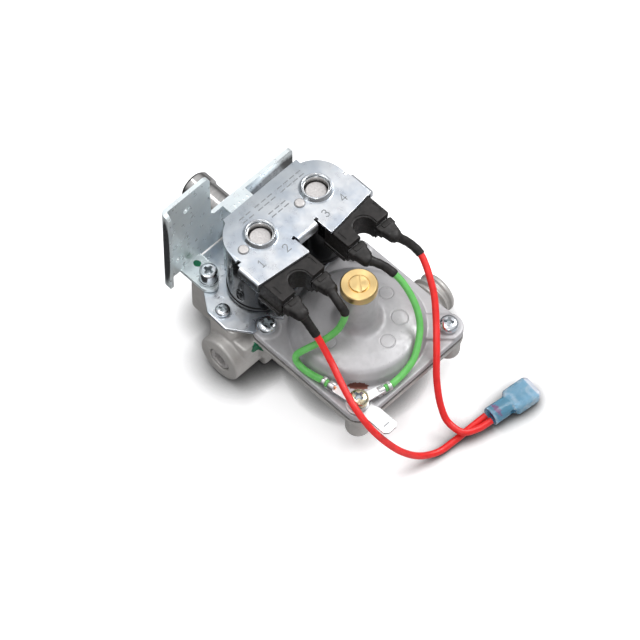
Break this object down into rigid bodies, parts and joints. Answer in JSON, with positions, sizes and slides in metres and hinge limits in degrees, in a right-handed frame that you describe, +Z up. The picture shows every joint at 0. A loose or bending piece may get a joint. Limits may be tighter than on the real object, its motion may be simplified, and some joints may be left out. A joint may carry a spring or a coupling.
{
  "type": "gas valve",
  "caption": "Redundant solenoid gas valve: die-cast body, domed pressure regulator cover with brass cap, twin coils on a zinc bracket, booted wire leads and a blue push-on connector.",
  "frame": {"origin": "centre of the regulator bowl's flat underside, below the brass cap", "axes": "+Z up along the regulator and coil axes, -X towards the outlet orifice, +Y along the inlet port"},
  "size_m": [0.1455, 0.0749, 0.069],
  "materials": {
    "cast_body": "rough die-cast aluminium, warm grey",
    "cast_cover": "die-cast aluminium, lightly tumbled",
    "zinc_plate": "bright zinc-plated sheet steel",
    "zinc_screw": "bright zinc-plated screw",
    "yellow_zinc": "yellow passivated zinc",
    "brass": "machined brass",
    "bright_steel": "turned stainless steel",
    "spring_steel": "drawn spring wire",
    "coil_black": "glossy black encapsulation",
    "block_black": "matte black moulded plastic",
    "boot_vinyl": "soft black vinyl",
    "rubber": "nitrile rubber",
    "tinned": "tin-plated brass, satin",
    "red_wire": "red PVC insulation",
    "green_wire": "green PVC insulation",
    "blue_nylon": "translucent blue nylon",
    "white_plastic": "white acetal"
  },
  "bodies": {
    "root": {"valve_body": "cast_body", "regulator_cover": "cast_cover", "pipe_plug": "cast_body", "diaphragm": "rubber", "orifice": "bright_steel", "inlet_screen": "bright_steel", "regulator_spring": "spring_steel", "plunger_spring_1": "spring_steel", "plunger_spring_2": "spring_steel", "coil_1": "coil_black", "coil_2": "coil_black", "terminal_block_1": "block_black", "terminal_block_2": "block_black", "coil_frame": "zinc_plate", "base_plate": "zinc_plate", "mounting_bracket": "zinc_plate", "cover_screw_left": "zinc_screw", "cover_screw_right": "zinc_screw", "cover_screw_back": "zinc_screw", "cover_screw_front": "yellow_zinc", "base_plate_screw": "zinc_screw", "bracket_screw": "zinc_screw", "ring_terminal_1": "tinned", "ring_terminal_2": "tinned", "ground_tab": "tinned", "connector_receptacle": "tinned", "connector_housing": "blue_nylon", "red_wire_1": "red_wire", "red_wire_2": "red_wire", "green_wire_1": "green_wire", "green_wire_2": "green_wire", "core_tube_1": "bright_steel", "core_ring_1": "bright_steel", "fixed_core_1": "bright_steel", "core_tube_2": "bright_steel", "core_ring_2": "bright_steel", "fixed_core_2": "bright_steel", "terminal_blade_1": "tinned", "terminal_boot_1": "boot_vinyl", "terminal_blade_2": "tinned", "terminal_boot_2": "boot_vinyl", "terminal_blade_3": "tinned", "terminal_boot_3": "boot_vinyl", "terminal_blade_4": "tinned", "terminal_boot_4": "boot_vinyl"},
    "plunger_assembly_1": {"plunger_1": "bright_steel", "seat_disc_1": "rubber"},
    "plunger_assembly_2": {"plunger_2": "bright_steel", "seat_disc_2": "rubber"},
    "regulator_valve": {"diaphragm_poppet": "bright_steel"},
    "adjuster_carriage": {"spring_seat": "white_plastic"},
    "adjuster": {"adjusting_screw": "white_plastic"},
    "cap_carriage": {"cap_gasket": "rubber"},
    "cap": {"brass_cap": "brass"}
  },
  "joints": [
    {"name": "plunger_1_lift", "type": "slide", "parent": "root", "child": "plunger_assembly_1", "axis": [0, 0, 1], "range_m": [0, 0.0025], "stiffness_N_per_m": 120, "springref_m": -0.006, "deforming": ["plunger_spring_1"]},
    {"name": "plunger_2_lift", "type": "slide", "parent": "root", "child": "plunger_assembly_2", "axis": [0, 0, 1], "range_m": [0, 0.0025], "stiffness_N_per_m": 120, "springref_m": -0.006, "deforming": ["plunger_spring_2"]},
    {"name": "regulator_valve_travel", "type": "slide", "parent": "root", "child": "regulator_valve", "axis": [0, 0, 1], "range_m": [-0.0012, 0.0008], "stiffness_N_per_m": 600, "deforming": ["regulator_spring"]},
    {"name": "adjuster_travel", "type": "slide", "parent": "root", "child": "adjuster_carriage", "axis": [0, 0, 1], "range_m": [-0.003, 0.0005], "deforming": ["regulator_spring"]},
    {"name": "adjuster_turn", "type": "hinge", "parent": "adjuster_carriage", "child": "adjuster", "pos_m": [0, 0, 0.0425], "axis": [0, 0, 1], "range_deg": [-1083.6, 183.6]},
    {"name": "cap_travel", "type": "slide", "parent": "root", "child": "cap_carriage", "axis": [0, 0, 1], "range_m": [0, 0.0055]},
    {"name": "cap_turn", "type": "hinge", "parent": "cap_carriage", "child": "cap", "pos_m": [0, 0, 0.05], "axis": [0, 0, 1], "range_deg": [-3.6, 1983.6]}
  ],
  "couplings": [
    {"joint": "adjuster_turn", "follows": "adjuster_travel", "rad_per_m": 6283.2},
    {"joint": "cap_turn", "follows": "cap_travel", "rad_per_m": 6283.2}
  ]
}
